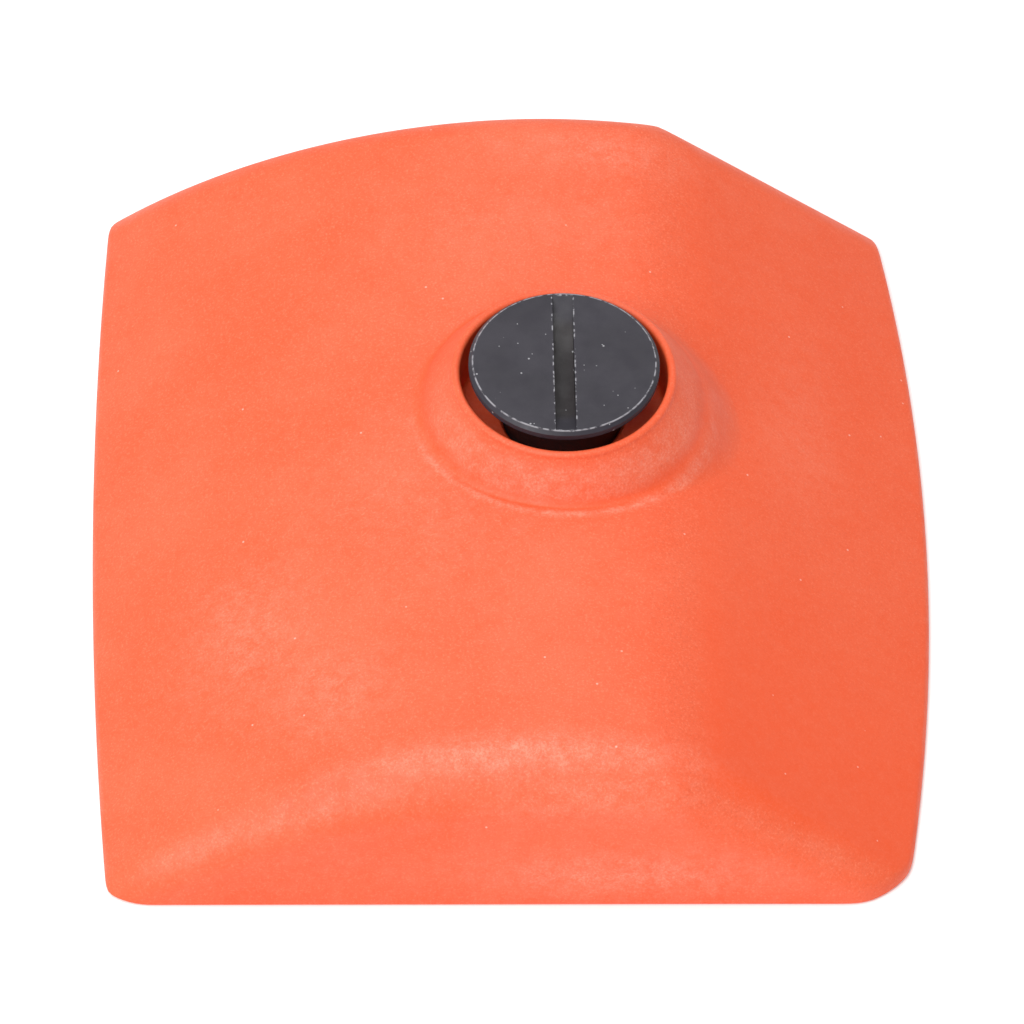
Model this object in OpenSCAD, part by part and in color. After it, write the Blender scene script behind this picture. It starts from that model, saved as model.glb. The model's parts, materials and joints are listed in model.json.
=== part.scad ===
// Air filter housing for a small engine: a moulded cover held by a captive slotted nut,
// a flat two-part filter element, and the base plate that bolts to the carburettor.
// The origin is the centre of the plan, on the flat underside, with +Z up and +Y to the back.

/* [Cover] */
// Width of the cover across its bulging sides
cover_w = 90; // [88:1:94]
// Length of the cover from front to back
cover_l = 100; // [98:1:106]
// Height of the arched crest above the underside
crest_h = 18.5; // [18:0.1:19]
// Wall thickness of the moulded cover
wall = 2; // [1.6:0.1:2.2]
// Height of the small upright edge along the rim
rim_h = 1; // [0.6:0.1:1.4]
// How far the front and back faces lean in from rim to crest
face_lean = 2; // [1:0.5:3]
// Radius of the rounded edge between the crest and the front and back faces
crest_fillet = 5.5; // [3:0.5:6]

/* [Boss and well] */
// Distance of the stud axis to the right of the middle
stud_x = 5.4; // [4:0.1:6]
// Distance of the stud axis behind the middle
stud_y = 4.7; // [3:0.1:5]
// Height of the boss lip above the underside
lip_h = 22.9; // [22.8:0.1:23]
// Radius of the round well inside the boss
well_r = 11.1; // [11:0.1:11.3]
// Height of the well floor above the underside
floor_h = 16.3; // [16.3:0.1:16.5]

/* [Nut and stud] */
// Radius of the nut head
head_r = 10.2; // [9:0.1:10.3]
// Height of the nut head's top above the boss lip
head_proud = 1.5; // [1.4:0.1:1.8]
// Thickness of the nut head at its edge
head_t = 1; // [0.8:0.1:1.2]
// Width of the coin slot
slot_w = 2.2; // [1.6:0.1:2.6]
// Depth of the coin slot at its middle
slot_d = 2.5; // [1.5:0.1:2.5]
// Radius of the nut's neck
neck_r = 6.4; // [6.3:0.1:6.6]
// Major diameter of the stud thread
stud_d = 6; // [5:0.1:6]

/* [Filter] */
// Width of the filter element
filter_w = 46; // [42:1:46]
// Length of the filter element
filter_l = 80; // [74:1:80]
// Inner radius of the outlet neck that fits over the carburettor inlet
outlet_r = 7.2; // [6:0.1:7.3]

/* [Base] */
// Thickness of the base plate
base_t = 2; // [1.8:0.1:2.2]
// Distance between the two mounting holes
bolt_spacing = 31; // [30:1:32]
// Radius of the mounting holes
bolt_hole_r = 2.75; // [2.2:0.05:2.9]

/* [Hidden] */
$fn = 96;

// Clearance between flat faces of bodies that part, and between round ones
flat_gap = 0.05;
round_gap = 0.3;
// A cut runs this far past the face it opens
over = 1;
// Thickness of the slices that a hull joins
slice_t = 0.01;

// The crest is an arc across X, then a straight facet from the ridge to the right rim
crest_r = 70;
crest_x = 3.5;
ridge_x = 17.5;
arc_steps = 18;
fillet_steps = 3;

// The sides are shallow arcs: their radii, and how far the right one is centred forward
left_r = 690;
right_r = 284;
right_y = -1;
// The back edge runs forward to both corners: from where, and by how much per millimetre
sweep_left_x = -5;
sweep_left = 0.031;
sweep_right = 0.155;
corner_steps = 6;
side_steps = 14;
corner_front_left = 3;
corner_front_right = 7.4;
corner_back = 3.2;

// Boss: a cone outside, a round-lipped well inside, with seats for the washer and spring
lip_t = 1;
cone_foot_r = 16.9;
cone_foot_h = 15.5;
tube_r = 13.1;
floor_t = 4;
stem_r = 4.7;
stem_hole_r = stem_r + 0.1;
spring_in = 5;
spring_out = 6;
spring_well_r = 6.2;
spring_seat_h = floor_h - 3;

// Inner skirt that seals against the base
skirt_w = 66.5;
skirt_l = 89;
skirt_x = -0.75;
skirt_t = 1.6;
skirt_bottom = 3.1;
seal_gap = 0.2;

// Stiffening ribs under the crest
cover_rib_t = 1.2;
cover_rib_bottom = 11.3;

// Heights along the stud axis
washer_t = 0.85;
washer_r = neck_r;
washer_well_r = washer_r + round_gap;
washer_seat_h = floor_h - 1;
washer_bottom = washer_seat_h + flat_gap;
shoulder_h = washer_bottom + washer_t + flat_gap;
stem_bottom = 6.4;
head_top = lip_h + head_proud;
head_bottom = head_top - head_t;
head_taper = 1.6;
head_edge = 0.4;
slot_land = 0.5;
ring_bottom = 7.2;
ring_t = 0.9;
ring_r = 6.4;
groove_r = 4.2;
insert_r = 3.9;
insert_bottom = 8.9;
insert_top = 16.5;
thread_gap = 0.05;
stud_bore_r = stud_d / 2 + 0.3;
stud_bore_top = 20;

// Filter: heights of the frames, panels and seals, and the widths of their rims
filter_bottom = 5;
filter_top = 10.5;
filter_corner = 6;
frame_rim = 2.6;
lower_frame_top = 7.6;
joint_t = 0.4;
panel_t = 0.6;
rib_t = 0.5;
rib_w = 1.2;
hub_t = 1.8;
sleeve_r = 8;
sleeve_t = 1.2;
flange_r = 12;
flange_t = 1.1;
flange_top = floor_h - floor_t - round_gap;
outlet_x = -10;
outlet_y = -20;
outlet_t = 1;
outlet_bottom = 0.8;
outlet_flange = 2;

// Base: plate, boss, port, inlets
base_w = 71.5;
base_l = 91;
base_corner = 5;
boss_r = 8;
boss_h = 3.6;
hex_flats = 10;
hex_recess = 1.8;
hex_lift = 0.2;
stud_top = 12.4;
stud_washer_t = 0.6;
stud_nut_t = 1.9;
grommet_t = 1.1;
port_r = outlet_r + outlet_t + round_gap + grommet_t;
port_wall = 1;
port_h = 3.4;
grommet_lift = 0.3;
gasket_r = 13;
gasket_ear_r = 5.5;
gasket_t = 0.8;
sleeve_wall = 0.75;
inlet_w = 5;
inlet_l = 20;
inlet_x = -28.5;
inlet_count = 3;
inlet_pitch = 24;
screen_frame = 1;
screen_t = 0.4;
screen_hole_r = 0.8;
screen_pitch = 2.6;

stud_at = [stud_x, stud_y, 0];
outlet_at = [outlet_x, outlet_y, 0];

// Points of an arc about c, from angle a0 to angle a1
function arc(c, r, a0, a1, n) =
    [for (i = [0:n]) let (a = a0 + (a1 - a0) * i / n) c + r * [cos(a), sin(a)]];

// Centre of a corner of radius r, tangent to a side arc (centre c, radius side_r) and to
// the line y = y_edge; dir is 1 on the right side and -1 on the left
function corner_at(c, side_r, r, y_edge, dir) =
    let (y = y_edge - sign(y_edge) * r)
    [c[0] + dir * sqrt(pow(side_r - r, 2) - pow(y - c[1], 2)), y];

// Direction from a to b, as an angle from 0 to 360
function heading(a, b) = (atan2(b[1] - a[1], b[0] - a[0]) + 360) % 360;

// Height of the crest arc at x, for a surface inset by e
function crest_z(x, e) = crest_h - crest_r + sqrt(pow(crest_r - e, 2) - pow(x - crest_x, 2));

// Everything in front of the back edge, inset by e
module back_sweep(e) {
    far = cover_l;
    y_edge = cover_l / 2 - e;
    polygon([[-far, -far], [far, -far], [far, y_edge - sweep_right * (far - ridge_x)],
        [ridge_x, y_edge], [sweep_left_x, y_edge],
        [-far, y_edge - sweep_left * (far + sweep_left_x)]]);
}

// Plan outline of the cover, inset by e
module plan(e) {
    y_edge = cover_l / 2 - e;
    rc = [cover_w / 2 - right_r, right_y];
    lc = [left_r - cover_w / 2, 0];
    rr = right_r - e;
    lr = left_r - e;
    fr_r = corner_front_right - e;
    fl_r = corner_front_left - e;
    b_r = corner_back - e;
    fr = corner_at(rc, rr, fr_r, -y_edge, 1);
    fl = corner_at(lc, lr, fl_r, -y_edge, -1);
    offset(r = b_r, $fn = 4 * corner_steps)
        offset(delta = -b_r)
        intersection() {
            polygon(concat(
                arc(fr, fr_r, 270, heading(rc, fr), corner_steps),
                arc(rc, rr, heading(rc, fr) - 360, heading(rc, [rc[0] + rr, cover_l]), side_steps),
                arc(lc, lr, heading(lc, [lc[0] - lr, cover_l]), heading(lc, fl), side_steps),
                arc(fl, fl_r, heading(lc, fl), 270, corner_steps)));
            back_sweep(e);
        }
}

// Thin slice of the cover's section at y, lowered by drop and inset by e
module section_slice(y, drop, e) {
    left = -cover_w / 2 + wall + e;
    right = cover_w / 2 - 2 * wall - e;
    crest = [for (i = [0:arc_steps]) let (x = left + (ridge_x - left) * i / arc_steps)
        [x, max(crest_z(x, e) - drop, 0)]];
    translate([0, y, 0])
        rotate([90, 0, 0])
        linear_extrude(slice_t)
        polygon(concat(crest, [[right, 0], [left, 0]]));
}

// Solid under the cover's skin, inset by e: an arched crest with rounded front and back
// edges, ruled down to the rim
module dome(e) {
    y_crest = cover_l / 2 - face_lean - e;
    intersection() {
        hull() {
            for (side = [-1, 1], i = [0:fillet_steps]) {
                a = 90 * i / fillet_steps;
                section_slice(side * (y_crest - crest_fillet * (1 - sin(a))),
                    crest_fillet * (1 - cos(a)), e);
            }
            linear_extrude(max(rim_h - e, slice_t))
                plan(e);
        }
        linear_extrude(crest_h + over)
            plan(e);
    }
}

// Rectangle with rounded corners, centred
module rounded_rect(w, l, r) {
    polygon(concat(
        arc([w / 2 - r, l / 2 - r], r, 0, 90, corner_steps),
        arc([r - w / 2, l / 2 - r], r, 90, 180, corner_steps),
        arc([r - w / 2, r - l / 2], r, 180, 270, corner_steps),
        arc([w / 2 - r, r - l / 2], r, 270, 360, corner_steps)));
}

// Ring of rectangular section between two radii and two heights
module ring(r_in, r_out, z0, z1) {
    translate([0, 0, z0])
        difference() {
            cylinder(r = r_out, h = z1 - z0);
            translate([0, 0, -over])
                cylinder(r = r_in, h = z1 - z0 + 2 * over);
        }
}

// Boss with the well, its floor and the hole for the nut's stem
module boss() {
    cone_top = lip_h - lip_t / 2;
    rotate_extrude()
        polygon(concat(
            [[stem_hole_r, floor_h - floor_t], [tube_r, floor_h - floor_t],
            [tube_r, cone_foot_h], [cone_foot_r, cone_foot_h]],
            arc([well_r + lip_t / 2, cone_top], lip_t / 2, 0, 180, corner_steps),
            [[well_r, floor_h], [washer_well_r, floor_h], [washer_well_r, washer_seat_h],
            [spring_well_r, washer_seat_h], [spring_well_r, spring_seat_h],
            [stem_hole_r, spring_seat_h]]));
}

module skirt_ring(w, l, t, z0, z1) {
    translate([skirt_x, 0, z0])
        linear_extrude(z1 - z0)
        difference() {
            rounded_rect(w, l, base_corner);
            rounded_rect(w - 2 * t, l - 2 * t, base_corner - t);
        }
}

// Ribs that cross under the crest at the stud axis
module cover_ribs() {
    for (size = [[cover_rib_t, skirt_l - 2 * skirt_t], [skirt_w - 2 * skirt_t, cover_rib_t]])
        translate([size[0] > size[1] ? skirt_x : stud_x, size[0] > size[1] ? stud_y : 0,
            cover_rib_bottom])
        linear_extrude(crest_h - cover_rib_bottom)
        square(size, center = true);
}

module cover_shell() {
    color("coral") {
        difference() {
            union() {
                difference() {
                    dome(0);
                    translate([0, 0, -slice_t])
                        dome(wall);
                }
                intersection() {
                    union() {
                        skirt_ring(skirt_w, skirt_l, skirt_t, skirt_bottom, crest_h);
                        cover_ribs();
                    }
                    dome(wall / 2);
                }
            }
            translate(stud_at)
                cylinder(r = tube_r - wall / 2, h = crest_h + over);
        }
        translate(stud_at)
            boss();
    }
}

module cover_seal() {
    color("dimgray")
        skirt_ring(skirt_w, skirt_l, skirt_t, base_t + seal_gap, skirt_bottom);
}

// Coin slot with an arc-shaped floor that runs out just inside the head's edge
module coin_slot() {
    half = head_r - slot_land;
    r = (pow(half, 2) + pow(slot_d, 2)) / (2 * slot_d);
    intersection() {
        translate([-slot_w / 2, 0, head_top - slot_d + r])
            rotate([0, 90, 0])
            cylinder(r = r, h = slot_w);
        translate([-slot_w, -head_r, head_top - slot_d - over])
            cube([2 * slot_w, 2 * head_r, slot_d + 2 * over]);
    }
}

module slotted_nut() {
    color("dimgray")
        translate(stud_at)
        difference() {
            rotate_extrude()
                polygon([[stud_bore_r, stem_bottom], [stem_r, stem_bottom],
                    [stem_r, ring_bottom], [groove_r, ring_bottom],
                    [groove_r, ring_bottom + ring_t], [stem_r, ring_bottom + ring_t],
                    [stem_r, shoulder_h], [neck_r, shoulder_h],
                    [neck_r, head_bottom - head_taper], [head_r, head_bottom],
                    [head_r, head_top - head_edge], [head_r - head_edge, head_top],
                    [0, head_top], [0, stud_bore_top], [stud_bore_r, stud_bore_top],
                    [stud_bore_r, insert_top], [insert_r, insert_top],
                    [insert_r, insert_bottom], [stud_bore_r, insert_bottom]]);
            coin_slot();
        }
}

module threaded_insert() {
    color("goldenrod")
        translate(stud_at)
        ring(stud_d / 2 + thread_gap, insert_r, insert_bottom, insert_top);
}

module retaining_ring() {
    color("silver")
        translate(stud_at)
        ring(groove_r, ring_r, ring_bottom, ring_bottom + ring_t);
}

module thrust_washer() {
    color("silver")
        translate(stud_at)
        ring(stem_r + round_gap, washer_r, washer_bottom, washer_bottom + washer_t);
}

module nut_spring() {
    color("gray")
        translate(stud_at)
        ring(spring_in, spring_out, spring_seat_h + flat_gap, washer_seat_h);
}

// Flat ring of the filter's plan outline, between two heights
module filter_ring(z0, z1) {
    translate([0, 0, z0])
        linear_extrude(z1 - z0)
        difference() {
            rounded_rect(filter_w, filter_l, filter_corner);
            rounded_rect(filter_w - 2 * frame_rim, filter_l - 2 * frame_rim,
                filter_corner - frame_rim);
        }
}

// Straight ribs across the filter, either side of the hub, between two heights
module filter_ribs(z0, z1) {
    for (y = [-filter_l / 4, filter_l / 4])
        translate([-filter_w / 2 + frame_rim / 2, y + stud_y / 2 - rib_w / 2, z0])
        cube([filter_w - frame_rim, rib_w, z1 - z0]);
    translate([-filter_w / 2 + frame_rim / 2, stud_y - rib_w / 2, z0])
        cube([filter_w - frame_rim, rib_w, z1 - z0]);
}

// Flat panel that fills a frame, between two heights
module filter_panel(z) {
    difference() {
        translate([0, 0, z])
            linear_extrude(panel_t)
            rounded_rect(filter_w - 2 * frame_rim, filter_l - 2 * frame_rim,
                filter_corner - frame_rim);
        translate(stud_at)
            translate([0, 0, z - over])
            cylinder(r = sleeve_r + sleeve_t + hub_t, h = panel_t + 2 * over);
    }
}

module filter_upper_frame() {
    bottom = lower_frame_top + joint_t;
    color("white")
        difference() {
            union() {
                filter_ring(bottom, filter_top);
                filter_ribs(filter_top - rib_t, filter_top);
                translate(stud_at)
                    translate([0, 0, bottom])
                    cylinder(r = sleeve_r + sleeve_t + hub_t,
                        h = flange_top - flange_t - bottom);
            }
            translate(stud_at)
                cylinder(r = sleeve_r + sleeve_t, h = filter_top + 2 * over);
        }
}

module filter_upper_mesh() {
    color("ivory")
        filter_panel(filter_top - rib_t - panel_t);
}

module filter_joint_seal() {
    color("black")
        filter_ring(lower_frame_top, lower_frame_top + joint_t);
}

module filter_lower_frame() {
    web_top = filter_bottom + rib_t;
    color("white")
        difference() {
            union() {
                filter_ring(filter_bottom, lower_frame_top);
                filter_ribs(filter_bottom, web_top);
                translate(stud_at)
                    translate([0, 0, filter_bottom])
                    cylinder(r = sleeve_r + sleeve_t + hub_t,
                        h = lower_frame_top - filter_bottom);
                translate(outlet_at)
                    translate([0, 0, outlet_bottom])
                    cylinder(r = outlet_r + outlet_t,
                        h = web_top + panel_t - outlet_bottom);
                translate(outlet_at)
                    translate([0, 0, filter_bottom])
                    cylinder(r = outlet_r + outlet_t + outlet_flange, h = rib_t + panel_t);
            }
            translate(stud_at)
                cylinder(r = sleeve_r + sleeve_t, h = filter_top);
            translate(outlet_at)
                cylinder(r = outlet_r, h = filter_top);
        }
}

module filter_lower_mesh() {
    z = filter_bottom + rib_t;
    color("ivory")
        difference() {
            filter_panel(z);
            translate(outlet_at)
                translate([0, 0, z - over])
                cylinder(r = outlet_r + outlet_t + outlet_flange, h = panel_t + 2 * over);
        }
}

module filter_centre_sleeve() {
    color("white")
        translate(stud_at) {
            ring(sleeve_r, sleeve_r + sleeve_t, filter_bottom, flange_top);
            ring(sleeve_r, flange_r, flange_top - flange_t, flange_top);
        }
}

module filter_outlet_seal() {
    color("black")
        translate(outlet_at)
        ring(outlet_r + outlet_t, outlet_r + outlet_t + outlet_flange,
            port_h + 2 * flat_gap, filter_bottom);
}

// Places along the left edge of the base where the inlet slots open
module at_inlets() {
    for (i = [0:inlet_count - 1])
        translate([inlet_x, (i - (inlet_count - 1) / 2) * inlet_pitch, 0])
        children();
}

// Places of the two mounting holes, in front of and behind the outlet
module at_bolts() {
    for (side = [-1, 1])
        translate([outlet_x, outlet_y + side * bolt_spacing / 2, 0])
        children();
}

module base_plate() {
    color("darkslategray")
        difference() {
            union() {
                translate([skirt_x, 0, 0])
                    linear_extrude(base_t)
                    rounded_rect(base_w, base_l, base_corner);
                translate(stud_at)
                    cylinder(r = boss_r, h = boss_h);
                translate(outlet_at)
                    cylinder(r = port_r + port_wall, h = port_h);
            }
            translate(stud_at)
                translate([0, 0, -over])
                cylinder(r = stud_d / 2, h = boss_h + 2 * over);
            translate(stud_at)
                translate([0, 0, -over])
                cylinder(d = hex_flats / cos(30), h = hex_recess + over, $fn = 6);
            translate(outlet_at)
                translate([0, 0, -over])
                cylinder(r = port_r, h = port_h + 2 * over);
            translate([0, 0, -over])
                gasket_shape(gasket_t + over);
            at_bolts()
                translate([0, 0, -over])
                cylinder(r = bolt_hole_r + sleeve_wall, h = base_t + 2 * over);
            at_inlets()
                translate([-inlet_w / 2, -inlet_l / 2, -over])
                cube([inlet_w, inlet_l, base_t + 2 * over]);
        }
}

module cover_stud() {
    color("silver")
        translate(stud_at) {
            translate([0, 0, hex_lift])
                cylinder(d = hex_flats / cos(30), h = hex_recess - hex_lift, $fn = 6);
            translate([0, 0, hex_lift])
                cylinder(r = stud_d / 2, h = stud_top - hex_lift);
        }
}

module stud_washer() {
    color("silver")
        translate(stud_at)
        ring(stud_d / 2, hex_flats / 2 + over, boss_h, boss_h + stud_washer_t);
}

module stud_nut() {
    color("silver")
        translate(stud_at)
        difference() {
            translate([0, 0, boss_h + stud_washer_t])
                cylinder(d = hex_flats / cos(30), h = stud_nut_t, $fn = 6);
            cylinder(r = stud_d / 2, h = stud_top);
        }
}

module intake_grommet() {
    color("black")
        translate(outlet_at)
        ring(port_r - grommet_t, port_r, grommet_lift, port_h);
}

// Flange gasket: a disc round the port with an ear at each mounting hole
module gasket_shape(h) {
    translate(outlet_at)
        cylinder(r = gasket_r, h = h);
    translate([outlet_x - gasket_ear_r, outlet_y - bolt_spacing / 2, 0])
        cube([2 * gasket_ear_r, bolt_spacing, h]);
    at_bolts()
        cylinder(r = gasket_ear_r, h = h);
}

module base_gasket() {
    color("dimgray")
        difference() {
            gasket_shape(gasket_t);
            translate(outlet_at)
                translate([0, 0, -over])
                cylinder(r = port_r, h = gasket_t + 2 * over);
            at_bolts()
                translate([0, 0, -over])
                cylinder(r = bolt_hole_r + sleeve_wall, h = gasket_t + 2 * over);
        }
}

module mounting_sleeves() {
    color("silver")
        at_bolts()
        ring(bolt_hole_r, bolt_hole_r + sleeve_wall, 0, base_t);
}

module inlet_screen() {
    rows = floor((inlet_l - screen_pitch) / screen_pitch);
    color("gray")
        at_inlets()
        difference() {
            translate([-inlet_w / 2 - screen_frame, -inlet_l / 2 - screen_frame, base_t])
                cube([inlet_w + 2 * screen_frame, inlet_l + 2 * screen_frame, screen_t]);
            for (x = [-screen_pitch / 2, screen_pitch / 2], i = [-rows / 2:rows / 2])
                translate([x, i * screen_pitch, base_t - over])
                cylinder(r = screen_hole_r, h = screen_t + 2 * over, $fn = 16);
        }
}

cover_shell();
cover_seal();
slotted_nut();
threaded_insert();
retaining_ring();
thrust_washer();
nut_spring();
filter_upper_frame();
filter_upper_mesh();
filter_joint_seal();
filter_lower_frame();
filter_lower_mesh();
filter_centre_sleeve();
filter_outlet_seal();
base_plate();
cover_stud();
stud_washer();
stud_nut();
intake_grommet();
base_gasket();
mounting_sleeves();
inlet_screen();
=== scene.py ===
"""Looks of the air filter housing: the moulded cover, its captive nut, the filter and the base.

Lengths are millimetres in the part's own frame, until metres() turns them into Blender's metres.
The camera, the floor and the lights are placed in metres.
"""
import json
import math

import bmesh
import bpy
import numpy as np
from mathutils import Matrix, Vector


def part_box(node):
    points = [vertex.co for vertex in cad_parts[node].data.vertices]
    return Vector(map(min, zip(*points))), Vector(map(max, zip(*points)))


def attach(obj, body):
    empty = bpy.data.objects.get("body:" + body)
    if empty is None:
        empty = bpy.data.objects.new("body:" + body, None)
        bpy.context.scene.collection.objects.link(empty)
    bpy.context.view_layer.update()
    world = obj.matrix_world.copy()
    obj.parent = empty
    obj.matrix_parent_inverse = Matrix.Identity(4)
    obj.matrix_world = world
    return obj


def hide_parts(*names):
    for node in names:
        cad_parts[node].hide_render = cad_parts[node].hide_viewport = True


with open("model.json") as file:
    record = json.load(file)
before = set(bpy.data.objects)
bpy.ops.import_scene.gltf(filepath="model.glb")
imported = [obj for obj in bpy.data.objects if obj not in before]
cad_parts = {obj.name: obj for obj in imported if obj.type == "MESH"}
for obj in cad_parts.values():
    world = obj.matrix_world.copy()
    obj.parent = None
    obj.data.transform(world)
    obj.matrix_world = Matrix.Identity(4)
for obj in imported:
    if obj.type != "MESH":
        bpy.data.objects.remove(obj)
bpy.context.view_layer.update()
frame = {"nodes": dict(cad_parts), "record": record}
MM = 0.001


def box_mm(node):
    """Lowest and highest corner of a CAD node, in millimetres."""
    low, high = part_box(node)
    return np.array(low) / MM, np.array(high) / MM


# ---------------------------------------------------------------- sizes, read from the frame

cover_low, cover_high = box_mm("cover_shell")
nut_low, nut_high = box_mm("slotted_nut")
washer_low, washer_high = box_mm("thrust_washer")
spring_low, spring_high = box_mm("nut_spring")
stud_low, stud_high = box_mm("cover_stud")
skirt_low, skirt_high = box_mm("cover_seal")

AXIS = ((nut_low + nut_high) / 2)[:2]      # the stud axis, through nut, boss and well
HALF_W = (cover_high[0] - cover_low[0]) / 2
HALF_L = (cover_high[1] - cover_low[1]) / 2
LIP_H = cover_high[2]
HEAD_R = (nut_high[0] - nut_low[0]) / 2
HEAD_TOP = nut_high[2]
HEAD_EDGE = 0.4         # chamfer round the top of the nut's head

# ---------------------------------------------------------------- sizes of the cover's form

CREST_H = 18.5          # height of the arched crest
CREST_R = 70.0          # radius of the arch across X
CREST_X = 3.5           # where the arch is highest
ARCH_REACH = 46.6       # half chord of the arch, from its top down to the left rim
RIM_H = 0.9             # upright edge of the rim
RIDGE_X = 17.5          # the ridge between arch and straight facet
FACE_LEAN = 2.0         # how far the front and back faces lean in
SWEEP_LEFT_X = -5.0     # the back edge runs forward from here to the left corner
SWEEP_LEFT = 0.031      # by so much per millimetre
SWEEP_RIGHT = 0.155     # and from the ridge to the right corner
SWEEP_BLEND = 0.4       # rounding where the back edge changes direction
LEFT_R = 690.0          # radius of the left side in plan
RIGHT_R = 284.0         # radius of the right side in plan
RIGHT_Y = -1.0          # where the right side bulges most
WALL = 2.0              # wall thickness
RIDGE_BLEND = 1.8       # rounding of the ridge between arch and facet
FRONT_BLEND = 6.0       # radius of the front crease at the crest
FRONT_BLEND_LOW = 3.4   # and down at the rim
BACK_BLEND = 4.5        # radius of the back crease
SIDE_BLEND = 0.5        # radius where the sides meet the top
CORNER_BLENDS = {       # plan corners: (side, end) to radius
    (1, -1): 7.4, (-1, -1): 3.0, (1, 1): 3.4, (-1, 1): 3.4,
}

WELL_R = 11.1           # radius of the well in the boss
LIP_T = 1.0             # thickness of the rounded lip round the well
CONE_SLOPE = 1.42       # fall of the boss flank per millimetre of radius
CONE_BLEND = 0.9        # rounding where the flank meets the crest
GROOVE_R = 15.2         # shallow moulded line round the foot of the boss
GROOVE_W = 0.55         # half width of that line
GROOVE_D = 0.22         # and its depth
WASHER_SEAT = washer_low[2] - 0.05
WASHER_WELL_R = (washer_high[0] - washer_low[0]) / 2 + 0.3
WELL_FLOOR = WASHER_SEAT + 1.0
FLOOR_T = 4.0           # thickness of the well's floor
TUBE_R = 13.1           # outside of the tube that the well forms under the crest
STEM_HOLE_R = 4.8       # hole for the nut's stem
SPRING_SEAT = spring_low[2] - 0.05
SPRING_R = (spring_high[0] - spring_low[0]) / 2

TURN = 720              # vertices in each ring round the stud axis
FORM_REACH = 19.0       # radius where the boss rings end and the skin rings begin
TUBE_FILLET = 0.6       # radius round the top of the tube under the boss
ROOT_STEPS = 36         # halvings in find_root


def smax(a, b, r):
    """Rounded maximum: an exact fillet of radius r where a and b are square to each other."""
    both = (a > -r) & (b > -r)
    round_part = np.sqrt(np.maximum(a + r, 0) ** 2 + np.maximum(b + r, 0) ** 2) - r
    return np.where(both, round_part, np.maximum(a, b))


def right_rim(y):
    """X of the right rim at y."""
    return HALF_W - RIGHT_R + np.sqrt(RIGHT_R ** 2 - (y - RIGHT_Y) ** 2)


def left_rim(y):
    """X of the left rim at y."""
    return LEFT_R - HALF_W - np.sqrt(LEFT_R ** 2 - y ** 2)


def arch_z(x):
    """Height of the arch at x."""
    return CREST_H - CREST_R + np.sqrt(CREST_R ** 2 - (x - CREST_X) ** 2)


def top_distance(x, y, z):
    """Distance above the crest: the arch, blended into the straight facet at the ridge."""
    flat_y = np.clip(y, -HALF_L, HALF_L)
    stretch = np.where(x < CREST_X, ARCH_REACH / (CREST_X - left_rim(flat_y)), 1.0)
    arch = np.hypot((x - CREST_X) * stretch, z - CREST_H + CREST_R) - CREST_R
    ridge_z = arch_z(RIDGE_X)
    slope = (ridge_z - RIM_H) / (right_rim(flat_y) - RIDGE_X)
    facet = (z - ridge_z + slope * (x - RIDGE_X)) / np.sqrt(1 + slope ** 2)
    return smax(arch, facet, RIDGE_BLEND)


def cover_distance(x, y, z):
    """Distance outside the cover's skin, near enough: below zero inside it."""
    lean = FACE_LEAN * z / CREST_H
    sweep = np.maximum(SWEEP_RIGHT * (x - RIDGE_X), SWEEP_LEFT * (SWEEP_LEFT_X - x))
    ends = {-1: -y - HALF_L + lean, 1: y - HALF_L + lean + smax(sweep, 0 * sweep, SWEEP_BLEND)}
    sides = {
        1: np.hypot(x - HALF_W + RIGHT_R, y - RIGHT_Y) - RIGHT_R,
        -1: np.hypot(x - LEFT_R + HALF_W, y) - LEFT_R,
    }
    front_blend = np.interp(z, (2.0, 15.0), (FRONT_BLEND_LOW, FRONT_BLEND))
    body = smax(top_distance(x, y, z), ends[-1], front_blend)
    body = smax(body, ends[1], BACK_BLEND)
    body = smax(body, np.maximum(sides[1], sides[-1]), SIDE_BLEND)
    for (side, end), r in CORNER_BLENDS.items():
        corner = smax(sides[side], ends[end], r) - SIDE_BLEND
        body = smax(body, corner, SIDE_BLEND)
    return body


def find_root(inside, outside, value):
    """Where value turns from below to above zero between two arrays of positions."""
    low, high = np.array(inside, float), np.array(outside, float)
    for _ in range(ROOT_STEPS):
        middle = (low + high) / 2
        below = value(middle) < 0
        low = np.where(below, middle, low)
        high = np.where(below, high, middle)
    return (low + high) / 2


ANGLES = np.linspace(0, 2 * math.pi, TURN, endpoint=False)
COS, SIN = np.cos(ANGLES), np.sin(ANGLES)


def ring(r, z):
    """One ring round the stud axis, at radius r and height z: numbers or arrays."""
    r = np.broadcast_to(np.asarray(r, float), (TURN,))
    z = np.broadcast_to(np.asarray(z, float), (TURN,))
    return np.stack([AXIS[0] + r * COS, AXIS[1] + r * SIN, z], axis=1)


def skin_height(r, inset):
    """Height of the skin, inset by so much, at radius r from the stud axis, all round."""
    x, y = AXIS[0] + r * COS, AXIS[1] + r * SIN
    low, high = np.zeros(TURN), np.full(TURN, CREST_H + 5)
    return find_root(low, high, lambda z: cover_distance(x, y, z) + inset)


def rim_radius(z, inset):
    """Radius of the skin at height z, all round."""
    low, high = np.full(TURN, TUBE_R), np.full(TURN, 3 * HALF_L)

    def at(r):
        return cover_distance(AXIS[0] + r * COS, AXIS[1] + r * SIN, np.full(TURN, z)) + inset

    return find_root(low, high, at)


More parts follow.
